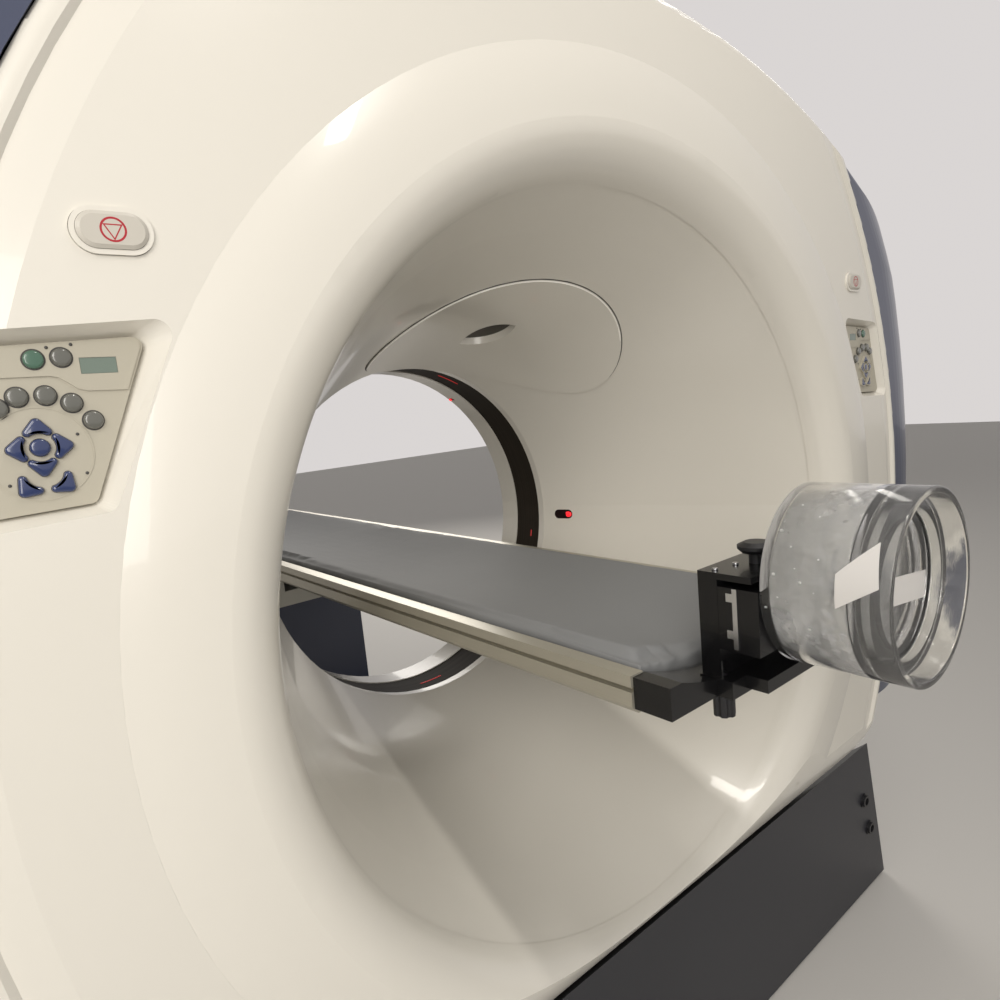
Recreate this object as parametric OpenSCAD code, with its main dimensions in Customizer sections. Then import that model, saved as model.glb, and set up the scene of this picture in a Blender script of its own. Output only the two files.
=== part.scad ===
// Computed tomography scanner: tilting gantry on a floor stand, and a couch that reaches through the bore.
// X is across the gantry, Y runs along the bore towards the couch, Z is up.
// The origin is on the floor, straight under the centre of the scan plane.

/* [Bore and scan window] */
// Height of the bore axis above the floor
axis_h = 1020; // [990:5:1050]
// Radius of the bore
bore_r = 350; // [345:1:355]
// Width of the dark scan window ring
window_w = 84; // [70:1:90]
// Thickness of the scan window ring
window_t = 5; // [4:0.5:6]
// How far the scan window lies below the bore surface
window_set = 2; // [1:0.5:2.5]

/* [Covers] */
// Distance of the front face from the scan plane
face_y = 682; // [670:1:690]
// Radius of the front flare where its lip begins
flare_r = 550; // [540:1:555]
// Distance from the scan plane at which the lip begins
flare_y = 646; // [640:1:650]
// Distance from the scan plane at which the front flare begins
flare_start = 60; // [55:1:70]
// How far the lip stands out from the front face
lip_rise = 10; // [6:1:12]
// Radius at which the lip meets the flat face
lip_land_r = 700; // [695:1:705]
// Distance of the rear face from the scan plane
rear_y = 340; // [335:1:350]
// Radius of the rear flare at the rear face
rear_flare_r = 590; // [580:1:595]
// Distance from the scan plane at which the rear flare begins
rear_flare_start = 99; // [95:1:105]
// Rounding of the rear flare's lip
rear_lip_r = 24; // [18:1:30]
// Half the width of the front face at its widest
face_half_w = 843; // [840:1:850]
// Radius of the face's side border
border_r = 1080; // [1060:5:1100]
// Height above the bore axis at which the face is widest
border_z = 15; // [5:1:25]
// Height of the crown above the bore axis
crown_h = 800; // [795:1:830]
// Radius of the crown's arc
crown_r = 1477; // [1450:1:1500]
// Radius swept by the underside about the tilt axis
sweep_r = 866; // [860:1:868]
// Blend between the front face and the underside
chin_r = 250; // [200:5:260]
// Wall of the moulded covers
shell_t = 8; // [6:0.5:9]
// Place of the joint between front and rear cover
split_y = -130; // [-140:1:-120]
// Rounding of the covers' outer edges
edge_r = 14; // [10:1:18]

/* [Side covers] */
// How far the side covers stand out beyond the face's border
pod_out = 240; // [230:1:245]
// Rounding of the side covers' front and rear shoulders
pod_round = 230; // [215:1:235]
// Radius of the side covers' vertical arc
pod_r = 1500; // [1450:10:1550]
// Radius about the bore at which the side covers' top corner starts
pod_corner_r = 920; // [915:1:925]
// Depth of the side covers' lower edge below the bore axis
pod_drop = 455; // [440:1:470]
// Wall of the side covers
pod_t = 6; // [5:0.5:7]

/* [Control panels] */
// Across position of the direction keys' centre
pad_x = 722; // [718:1:726]
// Height of the direction keys' centre above the bore axis
pad_z = 261; // [257:1:265]
// Depth of the panel recess
recess_d = 22; // [18:1:24]
// Thickness of the panel plate
plate_t = 8; // [6:0.5:9]
// Radius of the round keys
key_r = 7; // [6:0.25:7.25]
// How far the keys stand out of the plate
key_rise = 4; // [3:0.5:5]
// Travel of a key
key_travel = 1.5; // [1:0.25:2]
// Clearance round a key
key_gap = 0.3; // [0.2:0.05:0.3]
// Across position of the emergency stop
stop_x = 648; // [640:1:656]
// Height of the emergency stop above the bore axis
stop_z = 427; // [420:1:434]
// Width of the emergency stop button
stop_w = 53; // [50:1:56]
// Height of the emergency stop button
stop_h = 29; // [26:1:31]
// Travel of the emergency stop button
stop_travel = 5; // [3:0.5:6]

/* [Stand] */
// Radius of the stand's hollow top about the tilt axis
cradle_r = 878; // [874:1:882]
// Half the width of the stand frame
stand_half_w = 872; // [868:1:876]
// Distance of the stand's front cover from the scan plane
stand_front = 606; // [602:1:610]
// Distance of the stand's rear edge from the scan plane
stand_rear = 440; // [430:1:445]
// Thickness of the floor plate
floor_t = 20; // [16:1:25]
// Thickness of an upright
upright_t = 58; // [50:1:62]
// Half the width of an upright's neck
neck_half = 125; // [110:1:130]
// Radius of the tilt shafts
tilt_shaft_r = 60; // [50:1:65]
// Radius of the tilt bearing's outside
tilt_bearing_r = 88; // [80:1:95]
// Clearance of shafts in their bearings
shaft_gap = 0.05; // [0.02:0.01:0.09]
// Radius of the anchor bolt holes
anchor_r = 9; // [7:0.5:11]

/* [Rotor] */
// Outer radius of the rotor frame
rotor_r = 700; // [690:1:705]
// Inner radius of the rotor frame
rotor_bore_r = 385; // [378:1:395]
// Distance of the rotor frame's front from the scan plane
rotor_y = 60; // [56:1:66]
// Thickness of the rotor frame
rotor_t = 35; // [30:1:38]
// Radius of the gap between the main bearing's races
race_r = 480; // [475:1:485]
// Clearance between the races
race_gap = 0.3; // [0.2:0.05:0.3]
// Distance from the rotation axis to the X-ray focus
focus_r = 600; // [580:1:605]
// Inner radius of the detector arc
detector_r = 408; // [400:1:415]
// Half angle of the detector arc
detector_a = 27; // [22:1:32]
// Radius of the motor pulley
pulley_r = 45; // [38:1:50]
// Distance of the motor from the bore axis
motor_r = 795; // [790:1:798]
// Angle of the motor below the horizontal
motor_a = 58; // [57:0.5:60]

/* [Couch] */
// Distance of the couch top's free end from the scan plane
top_end = 806; // [796:1:816]
// Length of the couch top
top_len = 2300; // [2200:10:2350]
// Half the width of the couch top
top_half_w = 210; // [200:1:215]
// Height of the side rails' upper edge, measured down from the bore axis
rail_drop = 64; // [60:1:70]
// Depth of the side rails
rail_h = 48; // [40:1:50]
// Width of the side rails
rail_w = 22; // [18:1:26]
// Radius of the couch top's hollow
tray_r = 560; // [520:5:620]
// Lowest point of the couch top's inner face, measured down from the bore axis
tray_drop = 110; // [105:1:114]
// Thickness of the couch top's tray
tray_t = 12; // [8:1:14]
// Thickness of the pad
pad_t = 25; // [18:1:30]
// Distance of the couch frame's front from the scan plane
couch_front = 480; // [475:5:520]
// Length of the couch frame
couch_len = 2270; // [2200:10:2320]
// Distance of the pedestal's front from the scan plane
pedestal_y = 800; // [760:5:850]
// Length of the pedestal
pedestal_len = 1500; // [1300:10:1600]

/* [Phantom and holder] */
// Outer radius of the water phantom
phantom_r = 107.5; // [100:0.5:110]
// Height of the phantom's axis above the bore axis
phantom_z = 27; // [20:1:34]
// Length of the phantom
phantom_len = 137; // [120:1:150]
// Wall of the phantom
phantom_t = 8; // [6:0.5:10]
// Half the width of the holder block
holder_half_w = 110; // [100:1:115]

/* [Hidden] */
$fn = 96;
function rim_fn(r) = r > 50 ? 96 : 24;
// How far blends overrun, so that they cross the surfaces they join
blend_over = 0.05;
big = 2000;
eps = 0.3;
cover_white = [0.93, 0.92, 0.86];
cover_blue = [0.24, 0.27, 0.4];
stand_dark = [0.16, 0.17, 0.2];
flare_grey = [0.75, 0.73, 0.68];
panel_beige = [0.76, 0.74, 0.66];
key_blue = [0.2, 0.26, 0.5];
key_grey = [0.55, 0.55, 0.52];
steel = [0.62, 0.64, 0.66];
black = [0.06, 0.06, 0.07];
acrylic = [0.85, 0.9, 0.92, 0.4];

// Flare and lip
flare_slope = (flare_r - bore_r) / (flare_y - flare_start);
flare_a = atan(flare_slope);
crest_y = face_y + lip_rise;
lip_r = (crest_y - flare_y) / (1 - sin(flare_a));
crest_r = flare_r + lip_r * cos(flare_a);
lip_back_r = (pow(lip_land_r - crest_r, 2) + pow(lip_rise, 2)) / (2 * lip_rise);
rear_slope = (rear_flare_r - bore_r) / (rear_y - rear_flare_start);
rear_a = atan(rear_slope);
rear_tangent_y = rear_y - rear_lip_r * (1 - sin(rear_a));
rear_tangent = [bore_r + rear_slope * (rear_tangent_y - rear_flare_start), rear_tangent_y];
rear_lip_c = rear_tangent[0] + rear_lip_r * cos(rear_a);
flare_wall = 9;
rear_skin_y = rear_flare_start - flare_wall * tan(rear_a / 2);
rear_skin_r = bore_r + flare_wall / cos(rear_a) + rear_slope * (rear_y - shell_t - rear_flare_start);
window_in_r = bore_r + window_set;

// Panels: corners of the recess at the face and at its floor, from the top outer corner round
recess_top = [[757, 352], [614, 356], [680, 200], [800, 200]];
recess_floor = [[744, 342], [636, 345], [691, 209], [781, 209]];
recess_round = 13;
floor_round = 8;
plate_face = face_y - recess_d + plate_t;
display_pos = [671.5, 323];
display_size = [27, 13];
key_dome = 1.4;
small_keys = [[-23, 32], [-9, 40], [10, 40], [27, 33], [40, 18], [25, 69], [6, 68]];

// Leaf-shaped panel in the top of the flare and the eye-shaped window in it, seen from above
leaf_c = [95, -242];
leaf_half = [252, 164];
leaf_turn = -30;
leaf_rise = 3;
eye_c = [90, -228];
eye_half = 60;
eye_r = 78;
eye_turn = -58;
eye_d = 16;

// Laser windows at the sides and in the bore's far tube
laser_y = -111;
laser_drop = 22;
laser_w = 46;
laser_h = 22;
tube_laser_a = 37.5;
tube_laser_y = 87;

// Side covers: gap for the upright, and the seam to the body
pod_gap_y = 316;
pod_gap_h = 60;
seam_gap = 0.9;

// Stand and tilt
nose_depth = 276;
nose_back = nose_depth - stand_front;
nose_half_w = 920;
nose_top_half_w = 837;
nose_wall = 6;
white_edge_drop = 629;
frame_top = axis_h - 600;
plate_front = nose_back - 80;
plate_rear = stand_rear + 40;
anchor_x = 700;
anchor_inset = 30;
socket_drops = [775, 857];
socket_r = 14;
upright_foot = 290;
upright_in = stand_half_w;
upright_out = upright_in + upright_t;
cheek_out = 815;
cheek_t = 30;
shaft_in = cheek_out - cheek_t;
hole_gap = 6;

// Rotor and drive
rotor_back = rotor_y + rotor_t;
race_w = 50;
race_t = 40;
race_step = 6;
stator_y = rotor_back + race_w + race_step;
stator_t = 40;
stator_r = 760;
motor_x = motor_r * cos(motor_a);
motor_z = -motor_r * sin(motor_a);
motor_body_r = 44;
belt_t = 5;
belt_w = 28;
spindle_r = 12;
tube_body_r = 88;
tube_end_r = 98;
hv_a = 86;
cooling_a = 114;
weight_a = 138;

// Couch
tray_c = tray_r - tray_drop;
runner_z = -(tray_drop + tray_t + 6);
lift_z = runner_z - eps;
frame_h = 100;
frame_half_w = 170;
frame_t = 6;
frame_low = lift_z - frame_h;
tube_r = 45;
rod_r = 38;
rod_places = [0.25, 0.75];
ped_half_w = 230;
lower_cover_h = 480;
pad_half_w = top_half_w - rail_w - 2;

// Holder
holder_y = top_end + 27;
block_d = 78;
plate_d = 26;
slide_d = block_d - plate_d - eps;
holder_top = 43;
holder_low = -65;
phantom_far = holder_y + block_d;
water_len = 0.62 * phantom_len;
recess_start = water_len + 2 * phantom_t;
flange_t = 8;
flange_low = holder_top - flange_t;
block_top = flange_low - 8;
knob_x = -45;
knob_y = holder_y + 39;
knob_r = 22;
height_screw_r = 5;
screw_x = -holder_half_w + 6;
screw_y = holder_y + 24;

module on_axis() translate([0, 0, axis_h]) children();

// Outline in X and Z drawn out along Y
module along_y(y0, y1) translate([0, y1, 0]) rotate([90, 0, 0]) linear_extrude(y1 - y0) children();

// Outline in Y and Z drawn out along X
module along_x(x0, x1) translate([x0, 0, 0]) rotate([90, 0, 90]) linear_extrude(x1 - x0) children();

// Profile in radius and Y turned about the bore axis
module about_y() rotate([-90, 0, 0]) rotate_extrude() children();

module both_sides() {
    children();
    mirror([1, 0, 0]) children();
}

module stadium(w, h) {
    square([w - h, h], center = true);
    for (s = [-1, 1]) translate([s * (w - h) / 2, 0]) circle(d = h, $fn = 32);
}

// Disc about an axis along Y, with its front and rear rims rounded
module rim_disc(r, y0, y1, round_front, round_rear) about_y() {
    translate([0, y0 + round_front]) square([r, y1 - y0 - round_front - round_rear]);
    translate([0, y0]) square([r - round_front, round_front]);
    translate([r - round_front, y0 + round_front]) circle(round_front, $fn = rim_fn(round_front));
    translate([0, y1 - round_rear]) square([r - round_rear, round_rear]);
    translate([r - round_rear, y1 - round_rear]) circle(round_rear, $fn = rim_fn(round_rear));
}

// The white body's outline, with rounded rims: the crown's arc and the two border arcs
module body_block(y0, y1) intersection() {
    translate([0, 0, crown_h - crown_r]) rim_disc(crown_r, y0, y1, edge_r, edge_r);
    translate([border_r - face_half_w, 0, border_z]) rim_disc(border_r, y0, y1, edge_r, edge_r);
    translate([face_half_w - border_r, 0, border_z]) rim_disc(border_r, y0, y1, edge_r, edge_r);
}

// The same outline drawn in by the wall's thickness
module body_hollow(y0, y1) along_y(y0, y1) intersection() {
    translate([0, crown_h - crown_r]) circle(crown_r - shell_t);
    translate([border_r - face_half_w, border_z]) circle(border_r - shell_t);
    translate([face_half_w - border_r, border_z]) circle(border_r - shell_t);
}

// Corner between a flat end at distance d and the swept underside, to be taken off round a blend
module chin_corner(d, blend, r) {
    cx = d - blend;
    cz = -sqrt(pow(r - blend, 2) - pow(cx, 2));
    far = 2 * blend;
    out = [cx, cz] * (far / (r - blend));
    difference() {
        polygon([[cx, cz], [cx + far, cz], [cx + far, cz - far], [cx + out[0], cz + out[1]]]);
        translate([cx, cz]) circle(blend + 3 * blend_over);
    }
}

// Side view of the tilting body: flat ends, and an underside swept about the tilt axis
module side_view(front, rear, inset) difference() {
    intersection() {
        union() {
            circle(sweep_r - inset);
            translate([-front, -sweep_r / 2]) square([front + rear, big]);
        }
        translate([-front, -sweep_r]) square([front + rear, big]);
    }
    mirror([1, 0]) chin_corner(front, chin_r, sweep_r - inset);
    chin_corner(rear, chin_r / 4, sweep_r - inset);
}

// Space inside the front flare, from the axis out to the flare and round its lip
module flare_space() difference() {
    polygon([[0, -big], [0, big], [bore_r, big], [bore_r, -flare_start], [flare_r, -flare_y],
        [crest_r, lip_r - crest_y], [crest_r, -big]]);
    translate([crest_r, lip_r - crest_y]) circle(lip_r + blend_over, $fn = 40);
}

// Skin of the front lip: a rounded nose, and a gentle slope back to the flat face
module lip_section() intersection() {
    translate([crest_r, lip_back_r - crest_y]) circle(lip_back_r, $fn = 180);
    difference() {
        union() {
            translate([flare_r - 8, -crest_y - 1])
                square([crest_r - flare_r + 20, crest_y - flare_y + 12]);
            translate([crest_r, -crest_y - 1]) square([lip_land_r - crest_r, lip_rise + 5]);
        }
        translate([crest_r, lip_r - crest_y]) circle(lip_r - shell_t, $fn = 32);
    }
}

module rear_space() difference() {
    polygon([[0, -big], [0, big], [rear_lip_c, big], [rear_lip_c, rear_y - rear_lip_r],
        [rear_tangent[0], rear_tangent[1]], [bore_r, rear_flare_start], [bore_r, -big]]);
    translate([rear_lip_c, rear_y - rear_lip_r]) circle(rear_lip_r + blend_over, $fn = 32);
}

module corner_round(points, r, grow) {
    hull() for (p = points) translate(p) circle(r + grow, $fn = 32);
}

function arc_points(c, r, a0, a1, n) =
    [for (i = [0 : n]) let (a = a0 + (a1 - a0) * i / n) c + r * [cos(a), sin(a)]];
function pulled(points, r) = [for (p = points) p + r * unit(middle(points) - p) * 1.35];
function middle(points) = (points[0] + points[1] + points[2] + points[3]) / 4;
function unit(v) = v / norm(v);

// Recess for a control panel, drawn for the side at +X
module recess(grow) hull() {
    for (p = pulled(recess_top, recess_round)) translate([p[0], 0.5 + grow - face_y, p[1]])
        rotate([90, 0, 0]) cylinder(r = recess_round + grow, h = 1.5 + grow, $fn = 32);
    for (p = pulled(recess_floor, floor_round)) translate([p[0], plate_t + grow - plate_face, p[1]])
        rotate([90, 0, 0]) cylinder(r = floor_round + grow, h = plate_t, $fn = 32);
}

// Band that follows the front flare, from d0 to d1 outside its surface
module flare_band(d0, d1) about_y() polygon([[bore_r + d0, -flare_start], [bore_r + d1, -flare_start],
    [flare_r + d1, -flare_y], [flare_r + d0, -flare_y]]);

module stop_hole(grow) translate([stop_x, 0, stop_z]) along_y(-face_y - 5, -face_y + 26 + grow)
    stadium(stop_w + 9 + 2 * grow, stop_h + 9 + 2 * grow);

// Outline of the leaf-shaped panel in the top of the flare, seen from above
module leaf() translate(leaf_c) rotate(leaf_turn)
    polygon([for (i = [0 : 59]) [leaf_half[0] * cos(i * 6), leaf_half[1] * sin(i * 6)]]);

module eye(grow) translate(eye_c) rotate(eye_turn) {
    offset_c = sqrt(pow(eye_r, 2) - pow(eye_half, 2));
    intersection() {
        translate([0, offset_c]) circle(eye_r + grow, $fn = 64);
        translate([0, -offset_c]) circle(eye_r + grow, $fn = 64);
    }
}

module side_laser(grow) translate([bore_r - 20, laser_y, -laser_drop]) rotate([90, 0, 90])
    linear_extrude(80) stadium(laser_w + 2 * grow, laser_h + 2 * grow);
module top_laser(grow) rotate([0, -90 + tube_laser_a, 0]) translate([bore_r - 20, tube_laser_y, 0])
    rotate([90, 0, 90]) linear_extrude(60) stadium(16 + 2 * grow, 9 + 2 * grow);

module front_cover() color(cover_white) on_axis() {
    difference() {
        union() {
            difference() {
                intersection() {
                    body_block(-face_y, rear_y);
                    along_x(-big, big) side_view(crest_y, rear_y, 0);
                    translate([-big, -big, -big]) cube([2 * big, big + split_y, 2 * big]);
                }
                intersection() {
                    body_hollow(-face_y + shell_t, rear_y);
                    along_x(-big, big) side_view(crest_y - shell_t, rear_y, shell_t);
                }
            }
            intersection() {
                about_y() {
                    lip_section();
                    polygon([[bore_r, -window_w / 2], [bore_r + flare_wall, -window_w / 2],
                        [bore_r + flare_wall, -flare_start], [flare_r + flare_wall, -flare_y + 2],
                        [flare_r + flare_wall, -flare_y - 20], [bore_r, -flare_start - 20]]);
                }
                along_x(-big, big) side_view(crest_y + 2, rear_y, 0);
            }
            both_sides() {
                intersection() {
                    recess(shell_t);
                    translate([0, -face_y, 0]) cube([big, recess_d + shell_t, big]);
                }
                intersection() {
                    stop_hole(5);
                    translate([0, -face_y, 0]) cube([big, 40, big]);
                }
                intersection() {
                    side_laser(6);
                    flare_band(2, 30);
                }
            }
            intersection() {
                translate([0, 0, bore_r - 60]) linear_extrude(220) eye(6);
                flare_band(2, eye_d + 8);
            }
        }
        about_y() flare_space();
        both_sides() {
            translate([face_half_w - border_r, 0, border_z]) about_y()
                polygon([[border_r - 62, -face_y - 1], [border_r - 24, -face_y + 5],
                    [border_r - 17, -face_y - 1]]);
            recess(0);
            stop_hole(0);
            side_laser(0);
        }
        translate([0, 0, bore_r - 60]) linear_extrude(220) intersection() {
            eye(0);
            translate([-big / 2, -big]) square([big, big]);
        }
    }
}

module rear_cover() color(cover_white) on_axis() {
    hole_r = tilt_shaft_r + hole_gap;
    difference() {
        union() {
            difference() {
                intersection() {
                    body_block(-face_y, rear_y);
                    along_x(-big, big) side_view(crest_y, rear_y, 0);
                    translate([-big, split_y, -big]) cube([2 * big, big, 2 * big]);
                }
                intersection() {
                    body_hollow(-face_y, rear_y - shell_t);
                    along_x(-big, big) side_view(crest_y, rear_y - shell_t, shell_t);
                }
            }
            about_y() polygon([[bore_r, window_w / 2], [bore_r + flare_wall, window_w / 2],
                [bore_r + flare_wall, rear_skin_y], [rear_skin_r, rear_y - shell_t],
                [rear_lip_c + 5, rear_y - shell_t + 2], [rear_lip_c + 5, rear_y - 2],
                [bore_r, rear_y - 2]]);
        }
        about_y() rear_space();
        both_sides() rotate([0, 90, 0]) translate([0, 0, flare_r]) cylinder(r = hole_r, h = big);
        top_laser(0);
    }
}

// Rounded blocks turned about axes along Y, whose common part is the side cover's outer form
module pod_form(inset) {
    y0 = -face_y + 6 + inset;
    y1 = rear_y - 6 - inset;
    side_r = pod_r - inset;
    corner_r = pod_corner_r + pod_round - 60 - inset;
    shoulder = pod_round - inset;
    intersection() {
        translate([face_half_w + pod_out + 10 - pod_r, 0, 3 * border_z])
            rim_disc(side_r, y0, y1, shoulder, shoulder);
        rim_disc(corner_r, y0, y1, shoulder - 60, shoulder - 60);
        translate([0, 0, crown_h - crown_r]) rim_disc(crown_r - inset, y0, y1, edge_r, edge_r);
        translate([0, y0 - 1, -pod_drop + inset]) cube([big, y1 - y0 + 2, big]);
    }
}

module side_cover() difference() {
    pod_form(0);
    pod_form(pod_t);
    translate([face_half_w - border_r, 0, border_z]) rim_disc(border_r + seam_gap, -big, big, 1, 1);
    translate([upright_in - 12, -pod_gap_y, -pod_drop - 1])
        cube([upright_t + 24, 2 * pod_gap_y, pod_gap_h]);
}

module side_cover_left() color(cover_blue) on_axis() mirror([1, 0, 0]) side_cover();
module side_cover_right() color(cover_blue) on_axis() side_cover();

module scan_window() color([0.1, 0.09, 0.08]) on_axis() about_y()
    translate([window_in_r, -window_w / 2]) square([window_t, window_w]);

module flare_insert() color(flare_grey) on_axis() difference() {
    intersection() {
        flare_band(-leaf_rise, 0);
        translate([0, 0, bore_r / 2]) linear_extrude(flare_r) leaf();
    }
    translate([0, 0, bore_r / 2]) linear_extrude(flare_r) eye(0);
}

module indicator_window() color([0.25, 0.23, 0.2]) on_axis() intersection() {
    flare_band(eye_d - 6, eye_d);
    translate([0, 0, bore_r - 60]) linear_extrude(220) eye(0);
}

module laser_windows() color([0.3, 0.02, 0.03]) on_axis() {
    both_sides() intersection() {
        side_laser(0);
        flare_band(1, 8);
    }
    intersection() {
        top_laser(0);
        about_y() translate([bore_r + 1, rear_flare_start - 40]) square([7, 38]);
    }
}

// Key outlines, drawn about the centre of the direction keys
module round_key(grow) circle(key_r + grow);
// Rounded triangle that points away from the round key and is hollowed towards it
module arc_key(turn, grow) rotate(turn) difference() {
    polygon(concat(arc_points([7, 12], 3 + grow, -90, 39, 6), arc_points([0, 19], 4 + grow, 39, 141, 8),
        arc_points([-7, 12], 3 + grow, 141, 270, 6)));
    circle(key_r + 4 - grow);
}
module low_key(side, grow) translate([side * 2, -20]) arc_key(side > 0 ? -135 : 135, grow);
module key_body() translate([0, -plate_face - key_rise, 0]) rotate([-90, 0, 0])
    mirror([0, 1, 0]) linear_extrude(plate_t + key_rise - key_travel - 1) children();

module all_key_outlines(grow) {
    round_key(grow);
    for (turn = [0, 90, 180, 270]) arc_key(turn, grow);
    for (side = [-1, 1]) low_key(side, grow);
}

module control_plate() {
    difference() {
        union() {
            along_y(-plate_face, -plate_face + plate_t)
                corner_round(pulled(recess_floor, floor_round), floor_round, -eps);
            intersection() {
                along_y(-plate_face - 1.5, -plate_face + 1)
                    corner_round(pulled(recess_floor, floor_round), floor_round, -eps - 2);
                along_y(-big, 0) polygon([[900, 500], [900, 316], [707, 316], [701, 314.5], [695, 310],
                    [689, 305], [682, 303], [600, 301], [600, 500]]);
            }
            translate([pad_x, 0, pad_z - 5]) along_y(-plate_face - 0.6, -plate_face + 1) difference() {
                circle(37);
                circle(36);
            }
        }
        translate([pad_x, 0, pad_z]) along_y(-big, 0) all_key_outlines(key_gap);
        translate([display_pos[0], 0, display_pos[1]]) along_y(-plate_face - 5, -plate_face + 3)
            square(display_size, center = true);
    }
    for (p = small_keys) translate([pad_x - p[0], 1 - plate_face, pad_z + p[1]]) rotate([90, 0, 0]) {
        cylinder(r = key_r, h = key_rise - key_dome);
        translate([0, 0, key_rise - key_dome]) cylinder(r1 = key_r, r2 = key_r - 2, h = key_dome);
    }
}

module control_plate_left() color(panel_beige) on_axis() mirror([1, 0, 0]) control_plate();

module control_plate_right() color(panel_beige) on_axis() {
    control_plate();
    translate([pad_x, 0, pad_z]) key_body() all_key_outlines(key_gap);
}

module displays() color([0.45, 0.55, 0.48]) on_axis() both_sides()
    translate([display_pos[0], 0, display_pos[1]]) along_y(-plate_face - 1, -plate_face + 3)
        square([display_size[0] - 0.4, display_size[1] - 0.4], center = true);

module left_key() color(key_blue) on_axis() translate([-pad_x, 0, pad_z]) key_body() children();
module key_centre() left_key() round_key(0);
module key_up() left_key() arc_key(0, 0);
module key_in() left_key() arc_key(90, 0);
module key_down() left_key() arc_key(180, 0);
module key_out() left_key() arc_key(270, 0);
module key_home() left_key() low_key(-1, 0);
module key_light() left_key() low_key(1, 0);

module estop_rim() translate([stop_x, 0, stop_z]) {
    along_y(-face_y - 3, -face_y + 26) difference() {
        stadium(stop_w + 8.4, stop_h + 8.4);
        stadium(stop_w + 0.5, stop_h + 0.5);
    }
    along_y(-face_y + 22, -face_y + 26) stadium(stop_w + 4, stop_h + 4);
}
module estop_rims() color(panel_beige) on_axis() both_sides() estop_rim();

module estop() color(key_grey) translate([stop_x, 0, stop_z]) {
    along_y(-face_y - 3, -face_y + 22 - stop_travel - 1) stadium(stop_w, stop_h);
    hull() {
        along_y(-face_y - 4, -face_y - 2) stadium(stop_w, stop_h);
        along_y(-face_y - 6, -face_y - 5) stadium(stop_w - 6, stop_h - 6);
    }
}
module estop_left() on_axis() mirror([1, 0, 0]) estop();
module estop_right() on_axis() estop();

// Stand
module base_frame() color(stand_dark) {
    rim = 10;
    frame_d = stand_rear - nose_back;
    difference() {
        union() {
            difference() {
                translate([-stand_half_w, nose_back, 0]) cube([2 * stand_half_w, frame_d, axis_h]);
                difference() {
                    translate([-stand_half_w + rim, nose_back + rim, floor_t])
                        cube([2 * (stand_half_w - rim), frame_d - 2 * rim, axis_h]);
                    for (x = [-600, 0, 600]) translate([x - 6, -big, 0]) cube([12, 2 * big, axis_h]);
                }
            }
            translate([-stand_half_w + 60, plate_front, 0])
                cube([2 * stand_half_w - 120, plate_rear - plate_front, floor_t]);
            intersection() {
                translate([-stand_half_w, nose_back, 0]) cube([2 * stand_half_w, frame_d, axis_h]);
                on_axis() along_x(-stand_half_w, stand_half_w) difference() {
                    circle(cradle_r + rim);
                    circle(cradle_r);
                    translate([-big, -sweep_r / 2]) square([2 * big, big]);
                }
            }
        }
        on_axis() along_x(-big, big) circle(cradle_r);
        translate([-big, -big, frame_top]) cube([2 * big, 2 * big, axis_h]);
        for (x = [-anchor_x, anchor_x], y = [plate_front + anchor_inset, plate_rear - anchor_inset])
            translate([x, y, -1]) cylinder(r = anchor_r, h = floor_t + 2);
    }
}

// Front cover of the stand: sloping sides, and a top edge that clears the swept underside
module nose_form(inset, y1) intersection() {
    along_y(-stand_front + inset, y1) polygon([[-nose_half_w + inset, 6], [nose_half_w - inset, 6],
        [nose_top_half_w - inset, axis_h - white_edge_drop],
        [-nose_top_half_w + inset, axis_h - white_edge_drop]]);
    translate([-big, -big, 0]) cube([2 * big, 3 * big, frame_top]);
    on_axis() along_x(-big, big) difference() {
        translate([-big, -big]) square([2 * big, 2 * big]);
        circle(cradle_r + inset, $fn = 360);
    }
}
module base_front_cover() color(stand_dark) difference() {
    nose_form(0, nose_back);
    nose_form(nose_wall, nose_back + 1);
    translate([-nose_half_w + nose_wall, -stand_front + nose_wall, 0])
        cube([2 * (nose_half_w - nose_wall), nose_depth - nose_wall, 2 * nose_wall]);
    for (drop = socket_drops) translate([socket_x(drop), -stand_front - 1, axis_h - drop])
        rotate([-90, 0, 0]) cylinder(r = socket_r + eps, h = 10);
}
function socket_x(drop) = 815 + (drop - socket_drops[0]) * 0.3;
module base_sockets() color(black) for (drop = socket_drops)
    translate([socket_x(drop), -stand_front, axis_h - drop]) rotate([-90, 0, 0]) difference() {
        union() {
            translate([0, 0, -8]) cylinder(r = socket_r, h = 30);
            translate([0, 0, -3]) cylinder(r = socket_r + 3, h = 3);
        }
        translate([0, 0, -9]) cylinder(r = 9, h = 20);
    }

module upright() difference() {
    along_x(upright_in, upright_out) union() {
        translate([0, axis_h]) circle(tilt_bearing_r + 40);
        polygon([[-neck_half, axis_h], [neck_half, axis_h], [neck_half, axis_h - 560],
            [upright_foot, 120], [upright_foot, 0], [-upright_foot, 0], [-upright_foot, 120],
            [-neck_half, axis_h - 560]]);
    }
    on_axis() rotate([0, 90, 0]) cylinder(r = tilt_bearing_r, h = big);
    along_x(upright_in + 12, upright_out + 1) polygon([[-neck_half + 30, axis_h - 200],
        [neck_half - 30, axis_h - 200], [neck_half - 30, axis_h - 540], [200, 140], [-200, 140],
        [-neck_half + 30, axis_h - 540]]);
}
module upright_left() color(steel) mirror([1, 0, 0]) upright();
module upright_right() color(steel) upright();

module tilt_bearings() color(steel) on_axis() both_sides() rotate([0, 90, 0]) difference() {
    union() {
        translate([0, 0, upright_in]) cylinder(r = tilt_bearing_r, h = upright_t);
        translate([0, 0, upright_out]) cylinder(r = tilt_bearing_r + 14, h = 6);
    }
    cylinder(r = tilt_shaft_r + shaft_gap, h = big);
}

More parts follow.
